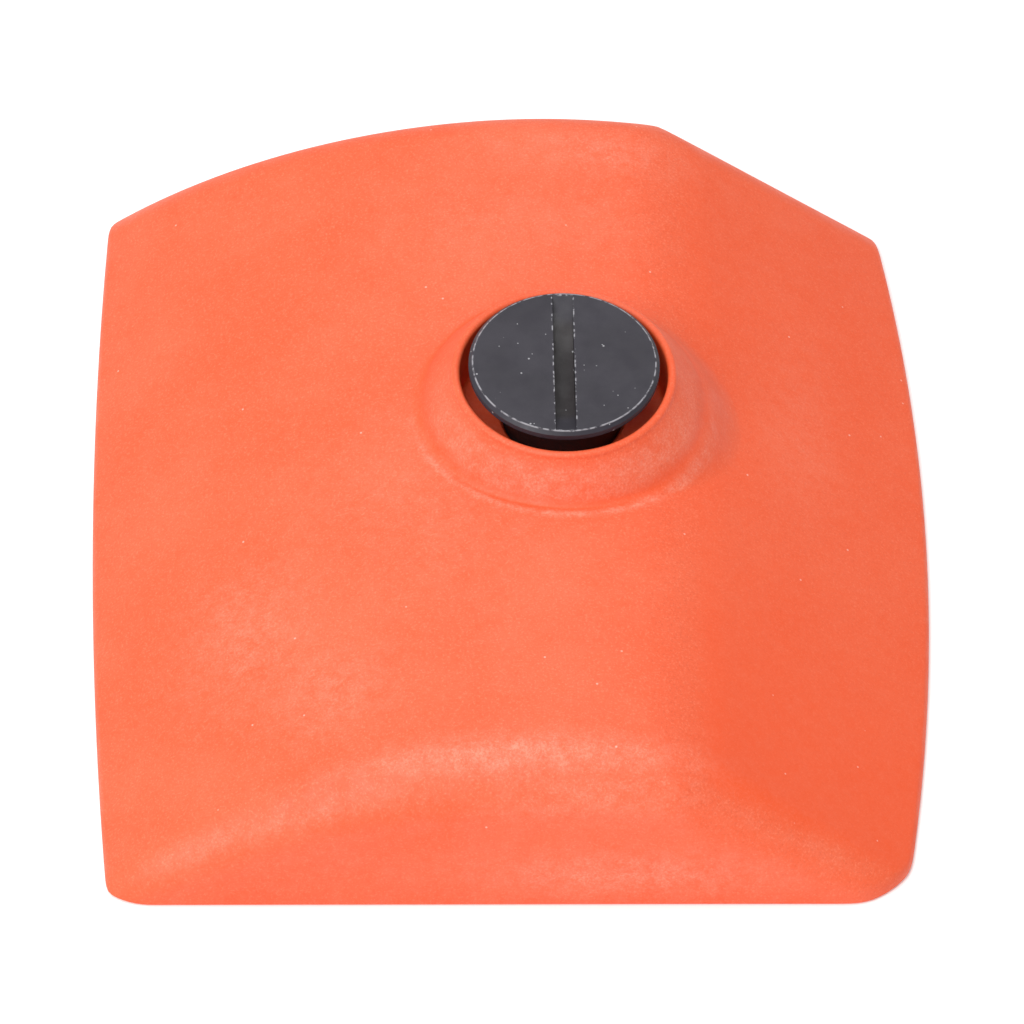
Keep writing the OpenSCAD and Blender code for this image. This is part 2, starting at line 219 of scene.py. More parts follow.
def skin_rings(r_start, z_end, inset, count):
    """Rings from the boss out over the crest and down to the rim.

    Rays leave a point deep under the skin in each half plane, so each meets the skin once,
    however steep the skin is there. They're then spread by length and bend.
    """
    r0, z0 = 14.0, -30.0            # where the rays start
    nearest, farthest = 20.0, 160.0 # how far along a ray the skin may be
    bend_weight = 2.5               # millimetres of length that a radian of bend counts as
    z_start = skin_height(r_start, inset)
    r_end = rim_radius(z_end, inset)
    first = np.arctan2(r_start - r0, z_start - z0)
    last = np.arctan2(r_end - r0, z_end - z0)
    fine = 4 * count
    share = np.linspace(0, 1, fine)[:, None]
    angle = first + (last - first) * share
    x0, y0 = AXIS[0] + r0 * COS, AXIS[1] + r0 * SIN

    def at(reach):
        out = reach * np.sin(angle)
        return cover_distance(x0 + out * COS, y0 + out * SIN, z0 + reach * np.cos(angle)) + inset

    reach = find_root(np.full(angle.shape, nearest), np.full(angle.shape, farthest), at)
    r, z = r0 + reach * np.sin(angle), z0 + reach * np.cos(angle)
    dr, dz = np.diff(r, axis=0), np.diff(z, axis=0)
    length = np.hypot(dr, dz)
    bend = np.abs(np.diff(np.unwrap(np.arctan2(dz, dr), axis=0), axis=0))
    bend = np.vstack([bend, bend[-1:]])
    weight = length + bend_weight * bend
    for _ in range(6):
        weight = (np.roll(weight, 1, axis=1) + weight + np.roll(weight, -1, axis=1)) / 3
    along = np.vstack([np.zeros((1, TURN)), np.cumsum(weight, axis=0)])
    rings = []
    for k in range(count + 1):
        want = along[-1] * k / count
        r_k = np.array([np.interp(want[j], along[:, j], r[:, j]) for j in range(TURN)])
        z_k = np.array([np.interp(want[j], along[:, j], z[:, j]) for j in range(TURN)])
        rings.append(ring(r_k, z_k))
    return rings


def boss_rings():
    """Rings of the boss from the lip's outer edge down its flank onto the crest."""
    rings = []
    lip_z = LIP_H - LIP_T / 2
    lip_r = WELL_R + LIP_T
    for r in np.concatenate([np.arange(lip_r + 0.15, FORM_REACH, 0.16), [FORM_REACH]]):
        flank = np.full(TURN, lip_z - CONE_SLOPE * (r - lip_r))
        crest = skin_height(r, 0.0)
        over = np.maximum(CONE_BLEND - np.abs(flank - crest), 0)
        height = np.maximum(flank, crest) + over ** 2 / (4 * CONE_BLEND)
        height = height - GROOVE_D * np.exp(-((r - GROOVE_R) / GROOVE_W) ** 2)
        rings.append(ring(r, height))
    return rings


def well_rings():
    """Rings of the well: stem hole, seats of spring and washer, floor, wall, rounded lip."""
    edge = 0.6
    bottom = WELL_FLOOR - FLOOR_T
    spring_well_r = SPRING_R + 0.2
    profile = [
        (STEM_HOLE_R, bottom + 0.2), (STEM_HOLE_R, SPRING_SEAT), (spring_well_r, SPRING_SEAT),
        (spring_well_r, WASHER_SEAT), (WASHER_WELL_R, WASHER_SEAT),
        (WASHER_WELL_R, WELL_FLOOR - 0.2), (WASHER_WELL_R + 0.2, WELL_FLOOR),
    ]
    for a in np.linspace(-math.pi / 2, 0, 6):
        out = WELL_R - edge + edge * math.cos(a)
        profile.append((out, WELL_FLOOR + edge + edge * math.sin(a)))
    wall_top = LIP_H - LIP_T / 2
    profile += [(WELL_R, z) for z in np.linspace(WELL_FLOOR + 1, wall_top - 0.2, 12)]
    half_lip = LIP_T / 2
    for a in np.linspace(math.pi, 0, 13):
        out = WELL_R + half_lip + half_lip * math.cos(a)
        profile.append((out, wall_top + half_lip * math.sin(a)))
    return [ring(r, z) for r, z in profile]


# ---------------------------------------------------------------- mesh helpers


def metres(points):
    """Millimetres as Blender's metres."""
    return np.asarray(points, float) * MM


def round_axis(r, z, angles):
    """Points at radius r and height z round the stud axis: numbers or arrays."""
    z = np.broadcast_to(np.asarray(z, float), angles.shape)
    return np.stack([AXIS[0] + r * np.cos(angles), AXIS[1] + r * np.sin(angles), z], axis=1)


def make_piece(name, points, faces, body, smooth_angle=32.0):
    """A mesh piece that rides on a body, with edges sharper than smooth_angle kept sharp."""
    mesh = bpy.data.meshes.new(name)
    mesh.from_pydata(metres(points).tolist(), [], [tuple(int(i) for i in f) for f in faces])
    mesh.validate()
    piece = bpy.data.objects.new(name, mesh)
    bpy.context.scene.collection.objects.link(piece)
    work = bmesh.new()
    work.from_mesh(mesh)
    bmesh.ops.remove_doubles(work, verts=work.verts, dist=1e-7)
    bmesh.ops.recalc_face_normals(work, faces=work.faces)
    for face in work.faces:
        face.smooth = True
    for edge in work.edges:
        edge.smooth = edge.calc_face_angle(0.0) < math.radians(smooth_angle)
    work.to_mesh(mesh)
    work.free()
    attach(piece, body)
    return piece


def ring_faces(count, turn, loop):
    """Quads between rings of turn vertices, and back to the first ring if loop is true."""
    faces = []
    for k in range(count if loop else count - 1):
        a, b = k * turn, ((k + 1) % count) * turn
        for j in range(turn):
            n = (j + 1) % turn
            faces.append((a + j, b + j, b + n, a + n))
    return faces


def rings_piece(name, rings, body, loop=True, smooth_angle=32.0):
    """A piece from rings: a closed loop of them, or capped at both ends."""
    turn = len(rings[0])
    points = np.concatenate(rings)
    faces = ring_faces(len(rings), turn, loop)
    if not loop:
        last = (len(rings) - 1) * turn
        faces.append(tuple(range(turn)))
        faces.append(tuple(last + turn - 1 - j for j in range(turn)))
    return make_piece(name, points, faces, body, smooth_angle)


def tube_piece(name, path, radius, body, sides=12):
    """A round wire along a path, with rounded ends."""
    path = np.asarray(path, float)
    tangent = np.gradient(path, axis=0)
    tangent /= np.linalg.norm(tangent, axis=1)[:, None]
    side = np.cross(tangent, [0, 0, 1.0])
    side /= np.linalg.norm(side, axis=1)[:, None]
    up = np.cross(side, tangent)
    a = np.linspace(0, 2 * math.pi, sides, endpoint=False)

    def section(k, centre, share):
        across = np.outer(np.cos(a), side[k]) + np.outer(np.sin(a), up[k])
        return centre + share * radius * across

    rings = [section(k, path[k], 1.0) for k in range(len(path))]
    for k, way in ((0, -1), (-1, 1)):
        for shrink, reach in ((0.85, 0.5), (0.45, 0.88)):
            cap = section(k, path[k] + way * reach * radius * tangent[k], shrink)
            if k == 0:
                rings.insert(0, cap)
            else:
                rings.append(cap)
    return rings_piece(name, rings, body, loop=False, smooth_angle=60)


def bevelled(node, width=0.12, angle=30.0, segments=2):
    """Small rounded edges on a carried-over CAD node."""
    piece = frame["nodes"][node]
    weld = piece.modifiers.new("weld", "WELD")
    weld.merge_threshold = 1e-6
    flat = piece.modifiers.new("flat", "DECIMATE")
    flat.decimate_type = "DISSOLVE"
    flat.angle_limit = math.radians(0.5)
    bevel = piece.modifiers.new("bevel", "BEVEL")
    bevel.width = width * MM
    bevel.segments = segments
    bevel.limit_method = "ANGLE"
    bevel.angle_limit = math.radians(angle)
    bevel.use_clamp_overlap = True
    bevel.harden_normals = True
    return piece


# ---------------------------------------------------------------- material helpers


class Look:
    """A procedural material with one Principled shader."""

    def __init__(self, name, **values):
        self.material = bpy.data.materials.new(name)
        self.material.use_nodes = True
        self.nodes = self.material.node_tree.nodes
        self.links = self.material.node_tree.links
        self.shader = next(n for n in self.nodes if n.type == "BSDF_PRINCIPLED")
        for socket, value in values.items():
            self.shader.inputs[socket.replace("_", " ")].default_value = value
        self.place = self.nodes.new("ShaderNodeTexCoord").outputs["Object"]

    def node(self, kind, inputs=(), **settings):
        made = self.nodes.new("ShaderNode" + kind)
        for key, value in settings.items():
            setattr(made, key, value)
        for key, value in dict(inputs).items():
            if isinstance(value, bpy.types.NodeSocket):
                self.links.new(value, made.inputs[key])
            else:
                made.inputs[key].default_value = value
        return made

    def noise(self, size, detail=3.0, roughness=0.55, stretch=(1, 1, 1)):
        """Noise from 0 to 1, whose cells are about size millimetres."""
        place = self.node("Mapping", {"Vector": self.place, "Scale": stretch}).outputs[0]
        return self.node("TexNoise", {"Vector": place, "Scale": 1 / (size * MM),
                                      "Detail": detail, "Roughness": roughness}).outputs["Fac"]

    def band(self, value, low, high, to_low=0.0, to_high=1.0):
        """value between low and high, spread over to_low and to_high, and clamped."""
        return self.node("MapRange", {"Value": value, "From Min": low, "From Max": high,
                                      "To Min": to_low, "To Max": to_high},
                         interpolation_type="SMOOTHSTEP").outputs[0]

    def math(self, operation, a, b=0.0):
        return self.node("Math", {0: a, 1: b}, operation=operation).outputs[0]

    def mix(self, share, a, b):
        """Colour a turning into colour b by share."""
        made = self.node("Mix", data_type="RGBA")
        for index, value in ((0, share), (6, a), (7, b)):
            if isinstance(value, bpy.types.NodeSocket):
                self.links.new(value, made.inputs[index])
            else:
                made.inputs[index].default_value = value
        return made.outputs[2]

    def attribute(self, name):
        return self.node("Attribute", attribute_name=name).outputs["Fac"]

    def coordinates(self):
        """X, Y and Z of the surface, in metres."""
        return self.node("SeparateXYZ", {"Vector": self.place}).outputs

    def radius_from(self, centre):
        """Distance from an upright axis, in metres."""
        x, y = self.coordinates()[0], self.coordinates()[1]
        dx = self.math("SUBTRACT", x, centre[0] * MM)
        dy = self.math("SUBTRACT", y, centre[1] * MM)
        square = self.math("ADD", self.math("MULTIPLY", dx, dx), self.math("MULTIPLY", dy, dy))
        return self.math("SQRT", square)

    def speckle(self, size, amount):
        """Sparse specks about size millimetres across: 1 on a speck, 0 elsewhere."""
        cells = self.node("TexVoronoi", {"Vector": self.place, "Scale": 1 / (size * MM)})
        near = self.band(cells.outputs["Distance"], 0.18, 0.08)
        pick = self.node("SeparateColor", {"Color": cells.outputs["Color"]}).outputs[0]
        return self.math("MULTIPLY", near, self.math("LESS_THAN", pick, amount))

    def colour(self, socket):
        self.links.new(socket, self.shader.inputs["Base Color"])

    def rough(self, socket):
        self.links.new(socket, self.shader.inputs["Roughness"])

    def bump(self, height, distance, strength=1.0, after=None):
        """Bump of so many millimetres. after is an earlier bump that it adds to."""
        made = self.node("Bump", {"Height": height, "Distance": distance * MM,
                                  "Strength": strength})
        if after is not None:
            self.links.new(after, made.inputs["Normal"])
        self.links.new(made.outputs[0], self.shader.inputs["Normal"])
        return made.outputs[0]


def rgb(red, green, blue):
    """A colour as the eye reads it, 0 to 255, in Blender's linear numbers."""
    def linear(v):
        v /= 255
        return v / 12.92 if v <= 0.04045 else ((v + 0.055) / 1.055) ** 2.4
    return (linear(red), linear(green), linear(blue), 1.0)


# ---------------------------------------------------------------- materials


def orange_nylon():
    """Moulded orange nylon: flow clouds, fine grain and pits, painted shade as a richer orange,
    dust with painted highlights, and specks.
    """
    look = Look("orange_nylon", Roughness=0.5, IOR=1.5)
    plain, painted_shade_orange = rgb(243, 94, 50), rgb(250, 84, 26)
    pale, dust = rgb(250, 128, 92), rgb(252, 182, 158)
    cloud = look.band(look.noise(14, 4), 0.35, 0.72)
    colour = look.mix(look.math("MULTIPLY", cloud, 0.22), plain, pale)
    fine = look.band(look.noise(0.26, 3, 0.7), 0.5, 0.68)
    colour = look.mix(look.math("MULTIPLY", fine, 0.34), colour, rgb(255, 152, 116))
    pits = look.band(look.noise(0.24, 3, 0.7), 0.5, 0.34)
    colour = look.mix(look.math("MULTIPLY", pits, 0.3), colour, rgb(214, 66, 30))
    # Painted shade: the edge attribute turns the orange darker and richer on the facet, front
    # face, rim, lip, well and groove.
    colour = look.mix(look.math("MULTIPLY", look.attribute("edge"), 0.75), colour, painted_shade_orange)
    # Pale dust, with painted highlights where the dust attribute marks the front crease and the
    # boss's front.
    wisps = look.band(look.noise(1.6, 6, 0.75), 0.3, 0.72, 0.15, 1.0)
    grain = look.band(look.noise(0.3, 3, 0.7), 0.36, 0.64, 0.4, 1.0)
    dust_and_highlight = look.math("ADD", look.attribute("dust"), 0.06)
    dust_and_highlight_mask = look.math("MULTIPLY", look.math("MULTIPLY", wisps, grain), dust_and_highlight)
    colour = look.mix(dust_and_highlight_mask, colour, dust)
    specks = look.math("MULTIPLY", look.speckle(0.9, 0.009), 0.45)
    colour = look.mix(specks, colour, rgb(255, 225, 212))
    look.colour(colour)
    look.rough(look.band(look.noise(3, 4), 0.3, 0.7, 0.5, 0.64))
    coarse = look.bump(look.noise(0.5, 3), 0.018)
    look.bump(look.noise(0.16, 2), 0.014, after=coarse)
    return look.material


def black_nylon():
    """The nut's black nylon, worn pale round the head's edge and along the coin slot."""
    look = Look("black_nylon", Roughness=0.5, IOR=1.5)
    body, bloom = rgb(42, 39, 48), rgb(50, 47, 56)
    colour = look.mix(look.band(look.noise(5, 4), 0.35, 0.7), body, bloom)
    z = look.coordinates()[2]
    # Painted shade and reflection: the nut darker and browner below its head, down in the orange
    # well.
    low = look.band(z, (HEAD_TOP - 1.0) * MM, (HEAD_TOP - 1.6) * MM)
    colour = look.mix(low, colour, rgb(40, 34, 36))
    r = look.radius_from(AXIS)
    line = HEAD_R - HEAD_EDGE   # the worn line runs along the chamfer's inner edge
    slot_in, slot_out = 1.15, 1.3
    rim = look.math("MULTIPLY", look.band(r, (line - 0.14) * MM, (line - 0.04) * MM),
                    look.band(r, (line + 0.10) * MM, (line + 0.02) * MM))
    top = look.band(z, (HEAD_TOP - 0.3) * MM, (HEAD_TOP - 0.18) * MM)
    worn = look.band(look.noise(0.7, 4), 0.36, 0.56)
    rim = look.math("MULTIPLY", look.math("MULTIPLY", rim, top), worn)
    across = look.math("ABSOLUTE", look.math("SUBTRACT", look.coordinates()[0], AXIS[0] * MM))
    lips = look.math("MULTIPLY", look.band(across, slot_out * MM, slot_in * MM),
                     look.band(z, (HEAD_TOP - 0.12) * MM, (HEAD_TOP - 0.03) * MM))
    lips = look.math("MULTIPLY", lips, look.band(look.noise(0.5, 3), 0.5, 0.62))
    wear = look.math("MAXIMUM", rim, lips)
    colour = look.mix(look.math("MULTIPLY", wear, 0.7), colour, rgb(180, 178, 184))
    specks = look.math("MAXIMUM", look.speckle(0.8, 0.07), look.speckle(0.5, 0.03))
    colour = look.mix(look.math("MULTIPLY", specks, 0.65), colour, rgb(200, 200, 204))
    look.colour(colour)
    look.rough(look.band(look.noise(2, 4), 0.3, 0.7, 0.42, 0.58))
    look.bump(look.noise(0.18, 3), 0.008)
    return look.material


def moulded(name, colour_a, colour_b, roughness, grain=0.16, dust=0.0):
    """Moulded nylon with fine grain, faint flow clouds and, if asked, dust."""
    look = Look(name, Roughness=roughness, IOR=1.5)
    colour = look.mix(look.band(look.noise(6, 4), 0.35, 0.7), colour_a, colour_b)
    if dust:
        patch = look.band(look.noise(4, 5, 0.65), 0.5, 0.72)
        colour = look.mix(look.math("MULTIPLY", patch, dust), colour, rgb(176, 164, 148))
    look.colour(colour)
    look.rough(look.band(look.noise(2.5, 4), 0.3, 0.7, roughness - 0.07, roughness + 0.08))
    look.bump(look.noise(grain, 3), 0.010)
    return look.material


def rubber():
    """Matt black rubber."""
    look = Look("black_rubber", Roughness=0.75, IOR=1.5)
    look.colour(look.mix(look.band(look.noise(3, 4), 0.4, 0.7), rgb(30, 30, 32), rgb(52, 52, 54)))
    look.rough(look.band(look.noise(1.2, 4), 0.3, 0.7, 0.68, 0.85))
    look.bump(look.noise(0.25, 4), 0.012)
    return look.material


def metal(name, colour_a, colour_b, roughness, cloud=2.0):
    """Metal with turning marks and a mottled plating."""
    look = Look(name, Metallic=1.0, Roughness=roughness)
    look.colour(look.mix(look.band(look.noise(cloud, 4), 0.35, 0.7), colour_a, colour_b))
    look.rough(look.band(look.noise(1.0, 4), 0.3, 0.7, roughness - 0.08, roughness + 0.12))
    look.bump(look.noise(0.12, 2, stretch=(1, 1, 6)), 0.004)
    return look.material


def filter_fabric():
    """Fine woven mesh: crossing threads 0.5 mm apart, painted shade between them, and patches of
    dirt.
    """
    pitch = 0.5
    look = Look("filter_fabric", Roughness=0.85, IOR=1.5)
    x, y = look.coordinates()[0], look.coordinates()[1]
    wave = 2 * math.pi / (pitch * MM)
    warp = look.math("SINE", look.math("MULTIPLY", x, wave))
    weft = look.math("SINE", look.math("MULTIPLY", y, wave))
    threads = look.math("MAXIMUM", look.math("ABSOLUTE", warp), look.math("ABSOLUTE", weft))
    # Painted shade: darker between the threads.
    shade = look.band(threads, 0.55, 0.95)
    colour = look.mix(shade, rgb(150, 144, 130), rgb(226, 222, 208))
    dirt = look.band(look.noise(7, 5, 0.6), 0.45, 0.72)
    colour = look.mix(look.math("MULTIPLY", dirt, 0.45), colour, rgb(150, 132, 104))
    look.colour(colour)
    weave = look.bump(threads, 0.10)
    look.bump(look.noise(0.3, 4), 0.03, after=weave)
    return look.material


def fibre():
    """Pressed gasket fibre with pale flecks."""
    look = Look("fibre_gasket", Roughness=0.9, IOR=1.45)
    fleck = look.band(look.noise(0.35, 4, 0.7), 0.42, 0.62)
    look.colour(look.mix(fleck, rgb(96, 94, 88), rgb(136, 132, 122)))
    look.bump(look.noise(0.2, 4), 0.02)
    return look.material


MATERIALS = {
    "orange_nylon": orange_nylon(),
    "black_nylon": black_nylon(),
    "brass": metal("brass", rgb(205, 160, 82), rgb(176, 132, 62), 0.32),
    "zinc_steel": metal("zinc_steel", rgb(196, 197, 200), rgb(160, 162, 168), 0.34),
    "spring_steel": metal("spring_steel", rgb(128, 128, 132), rgb(92, 92, 98), 0.3),
    "black_rubber": rubber(),
    "grey_nylon": moulded("grey_nylon", rgb(208, 208, 204), rgb(190, 190, 186), 0.55, dust=0.25),
    "filter_fabric": filter_fabric(),
    "dark_nylon": moulded("dark_nylon", rgb(46, 47, 50), rgb(56, 57, 60), 0.6, dust=0.08),
    "fibre_gasket": fibre(),
}
SLOT_OF = {part["node"]: part["material_slot"] for part in frame["record"]["subparts"]}


def dress(piece, slot):
    """Gives a piece the material of the record's slot."""
    piece.data.materials.clear()
    piece.data.materials.append(MATERIALS[slot])


# ---------------------------------------------------------------- the cover


def fade(value, low, high):
    """0 below low, 1 above high, with a soft step between."""
    t = np.clip((value - low) / (high - low), 0, 1)
    return t * t * (3 - 2 * t)


def front_distance(y, z):
    """Distance ahead of the leaning front face."""
    return -y - HALF_L + FACE_LEAN * z / CREST_H


def painted_shade_share(points):
    """How strongly the painted shade shows, as a darker, richer orange: on the facet, front face,
    rim, lip, well and groove.
    """
    x, y, z = points.T
    front = front_distance(y, z)
    r = np.hypot(x - AXIS[0], y - AXIS[1])
    facet = 0.42 + 0.4 * fade(-y, 5, 40)
    facet = facet * fade(x, 17.5, 21) * (1 - fade(front, -4, -1.5)) * (r > GROOVE_R)
    face = 0.3 * fade(front, -1.6, -0.2) * (1 - fade(z, 12.5, 15.5))
    rim = 0.4 * np.exp(-(np.maximum(z - 1.2, 0) / 0.9) ** 2) * fade(x, 5, 30)
    lip = 0.3 * np.exp(-((r - WELL_R - 0.2) / 0.55) ** 2) * (z > LIP_H - 1.2)
    well = (r < WELL_R + 0.02) * (z < LIP_H - 0.3)
    groove = 0.6 * np.exp(-((r - GROOVE_R) / 0.5) ** 2) * (z > CREST_H - 6)
    return np.clip(np.maximum.reduce([facet, face, rim, lip, well, groove]), 0, 1)


# Where dust has left the cover pale, and a painted highlight along the front crease: centre, half
# sizes and strength
DUST_AND_HIGHLIGHT_PATCHES = [
    ((-28.0, -23.0, 11.0), (8.0, 9.0, 6.0), 0.27),
    ((-20.0, -33.0, 14.0), (7.0, 6.0, 5.0), 0.27),
    # painted highlight along the top of the front crease
    ((0.0, -44.0, 18.0), (21.0, 2.2, 4.0), 0.5),
    ((9.0, -48.0, 15.0), (12.0, 4.0, 2.6), 0.30),
    ((11.0, -49.5, 4.5), (14.0, 3.0, 3.0), 0.40),
    ((12.0, 41.0, 18.0), (12.0, 3.0, 4.0), 0.28),
    ((31.0, 8.0, 9.0), (5.0, 12.0, 4.0), 0.12),
    ((-10.0, -8.0, 17.5), (14.0, 12.0, 5.0), 0.12),
    ((3.0, 30.0, 18.5), (16.0, 6.0, 4.0), 0.10),
]


def dust_and_highlight_share(points):
    """How dusty the cover is, with painted highlights on the front crease and the boss's front,
    from 0 to 1.
    """
    total = np.zeros(len(points))
    for centre, half, strength in DUST_AND_HIGHLIGHT_PATCHES:
        away = (((points - centre) / half) ** 2).sum(axis=1)
        total = np.maximum(total, strength * np.exp(-away))
    x, y, z = points.T
    r = np.hypot(x - AXIS[0], y - AXIS[1])
    ahead = fade(AXIS[1] - y, -4, 10)
    # pale band on the shoulder beyond the groove, at the front: dust and painted highlight
    foot = 0.45 * np.exp(-((r - GROOVE_R - 1.1) / 0.5) ** 2) * ahead
    # paler front flank of the boss: painted highlight
    flank = fade(r, WELL_R + 1, WELL_R + 2) * (1 - fade(r, GROOVE_R - 1, GROOVE_R))
    flank = 0.34 * flank * ahead
    # painted highlight: a pale line along the front crease
    crease = np.exp(-((front_distance(y, z) + 1.4) / 1.1) ** 2) * fade(z, 1.5, 5)
    crease = crease * (0.08 + 0.13 * fade(-x, 8, 20))
    return np.maximum.reduce([total, foot, flank, crease])


def make_cover():
    """The whole moulding as one closed loop of rings round the stud axis."""
    foot = 0.3              # radius round the foot of the rim
    round_t = 0.18          # small roundings at the ends of the tube
    outer = skin_rings(FORM_REACH, foot, 0.0, 120)[1:]
    r_rim = rim_radius(foot, 0.0)
    under = [ring(r_rim - foot * (1 - math.cos(a)), foot * (1 - math.sin(a)))
             for a in np.linspace(0, math.pi / 2, 5)[1:]]
    r_in = rim_radius(0.0, WALL)
    inner = skin_rings(TUBE_R + TUBE_FILLET, 0.15, WALL, 46)[::-1]
    join = ring(r_in, 0.0)
    tube_top = skin_height(TUBE_R + TUBE_FILLET, WALL)
    bottom = WELL_FLOOR - FLOOR_T
    tube = [ring(TUBE_R + round_t, tube_top - round_t), ring(TUBE_R, tube_top - TUBE_FILLET)]
    tube += [ring(TUBE_R, tube_top + (bottom + 0.2 - tube_top) * s) for s in (0.5, 1.0)]
    tube += [ring(TUBE_R - 0.2, bottom), ring(STEM_HOLE_R + round_t, bottom)]
    rings = well_rings() + boss_rings() + outer + under + [join] + inner + tube
    piece = rings_piece("cover", rings, "cover", smooth_angle=38)
    points = np.array([v.co for v in piece.data.vertices]) / MM
    # The edge attribute carries painted shade; the dust attribute carries dust and painted
    # highlights.
    for name, share in (("edge", painted_shade_share(points)), ("dust", dust_and_highlight_share(points))):
        made = piece.data.attributes.new(name, "FLOAT", "POINT")
        made.data.foreach_set("value", share.astype(np.float32))
    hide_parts("cover_shell")
    dress(piece, "orange_nylon")
    return piece


def wall_piece(name, path, thickness, z_low, body, closed):
    """An upright inner wall that follows a plan path and ends inside the cover's skin."""
    path = np.asarray(path, float)
    count = len(path)
    if closed:
        ahead = np.roll(path, -1, axis=0) - np.roll(path, 1, axis=0)
    else:
        ahead = np.gradient(path, axis=0)
    ahead /= np.linalg.norm(ahead, axis=1)[:, None]
    across = np.stack([ahead[:, 1], -ahead[:, 0]], axis=1) * thickness / 2
    lanes = [path - across, path + across]
    top = []
    for x, y in (lane.T for lane in lanes):

        def at(z, x=x, y=y):
            return cover_distance(x, y, z) + WALL / 2

        top.append(find_root(np.zeros(count), np.full(count, CREST_H + 2.0), at))
    section = [(0, z_low), (0, None), (1, None), (1, z_low)]
    rings = []
    for k in range(count):
        corners = [(*lanes[i][k], top[i][k] if z is None else z) for i, z in section]
        rings.append(np.array(corners))
    return rings_piece(name, rings, body, loop=closed, smooth_angle=30)


def rounded_rectangle(low, high, corner, steps=8, spacing=2.0):
    """Plan points of a rectangle with round corners."""
    points = []
    right, back = high[0] - corner, high[1] - corner
    left, front = low[0] + corner, low[1] + corner
    centres = [(right, back, 0), (left, back, 90), (left, front, 180), (right, front, 270)]
    for cx, cy, start in centres:
        for s in range(steps + 1):
            a = math.radians(start + 90 * s / steps)
            points.append((cx + corner * math.cos(a), cy + corner * math.sin(a)))
    dense = []
    for k, p in enumerate(points):
        q = points[(k + 1) % len(points)]
        pieces = max(1, int(math.dist(p, q) / spacing))
        for s in range(pieces):
            t = s / pieces
            dense.append((p[0] + (q[0] - p[0]) * t, p[1] + (q[1] - p[1]) * t))
    return dense


def make_cover_walls():
    """The sealing skirt and the ribs under the crest."""
    skirt_t = 1.6
    skirt_corner = 5.0      # outer radius of the skirt's corners
    rib_t = 1.2
    rib_low = 11.3          # height of the ribs' lower edge
    rib_left, rib_right = -21.0, 23.5
    sunk = 0.4              # how far each rib reaches into the tube
    inset = skirt_t / 2
    path = rounded_rectangle(skirt_low[:2] + inset, skirt_high[:2] - inset, skirt_corner - inset)
    skirt = wall_piece("cover_skirt", path, skirt_t, skirt_high[2], "cover", closed=True)
    dress(skirt, "orange_nylon")
    reach = TUBE_R - sunk
    ends = {
        "front": ((AXIS[0], skirt_low[1] + inset), (AXIS[0], AXIS[1] - reach)),
        "back": ((AXIS[0], AXIS[1] + reach), (AXIS[0], skirt_high[1] - inset)),
        "left": ((rib_left, AXIS[1]), (AXIS[0] - reach, AXIS[1])),
        "right": ((AXIS[0] + reach, AXIS[1]), (rib_right, AXIS[1])),
    }
    for name, (start, stop) in ends.items():
        steps = np.linspace(0, 1, 24)[:, None]
        line = np.array(start) + (np.array(stop) - np.array(start)) * steps
        rib = wall_piece("cover_rib_" + name, line, rib_t, rib_low, "cover", closed=False)
        dress(rib, "orange_nylon")


# ---------------------------------------------------------------- small turned pieces


def make_stud():
    """The M6 stud: a real helical thread above a hex head."""
    pitch, minor, major = 1.0, 2.45, 3.0
    head_t = 1.8
    sunk = 0.4              # how far the thread starts below the top of the head
    head_top = box_mm("base_plate")[0][2] + head_t
    turn, per_pitch = 72, 16
    a = np.linspace(0, 2 * math.pi, turn, endpoint=False)
    z_low, z_high = head_top - sunk, stud_high[2]
    rows = int((z_high - z_low) / pitch * per_pitch)
    rings = []
    for z in np.linspace(z_low, z_high, rows + 1):
        phase = (z / pitch - a / (2 * math.pi)) % 1.0
        crest = np.clip(1.25 * (1 - np.abs(2 * phase - 1)) - 0.1, 0, 1)
        r = minor + (major - minor) * crest
        tip = minor + 0.1 + 0.9 * (z_high - z)
        r = np.minimum(r, tip)
        rings.append(round_axis(r, z, a))
    thread = rings_piece("stud_thread", rings, "base", loop=False, smooth_angle=55)
    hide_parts("cover_stud")
    dress(thread, "zinc_steel")
    corner = (stud_high[0] - stud_low[0]) / 2
    flats = corner * math.cos(math.pi / 6)
    bottom, edge = stud_low[2], 0.25
    a = np.linspace(0, 2 * math.pi, 96, endpoint=False)
    hexagon = flats / np.cos((a + math.pi / 6) % (math.pi / 3) - math.pi / 6)
    outline = [
        (flats - 0.3, bottom), (flats + 0.15, bottom + edge),
        (corner, bottom + 2 * edge), (corner, head_top),
    ]
    rings = [round_axis(np.minimum(hexagon, limit), z, a) for limit, z in outline]
    head = rings_piece("stud_head", rings, "base", loop=False, smooth_angle=25)
    dress(head, "zinc_steel")


def make_spring():
    """A conical wire spring, pressed together in its seat under the washer."""
    wire, turns, taper = 0.21, 3.2, 0.3
    clear = 0.02            # left free above and below the coil
    t = np.linspace(0, 1, 220)
    r = SPRING_R - wire - taper * t
    room = spring_high[2] - spring_low[2] - 2 * wire - 2 * clear
    z = spring_low[2] + wire + clear + room * t
    a = 2 * math.pi * turns * t
    spring = tube_piece("spring_coil", round_axis(r, z, a), wire, "cover")
    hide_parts("nut_spring")
    dress(spring, "spring_steel")


# ---------------------------------------------------------------- stage


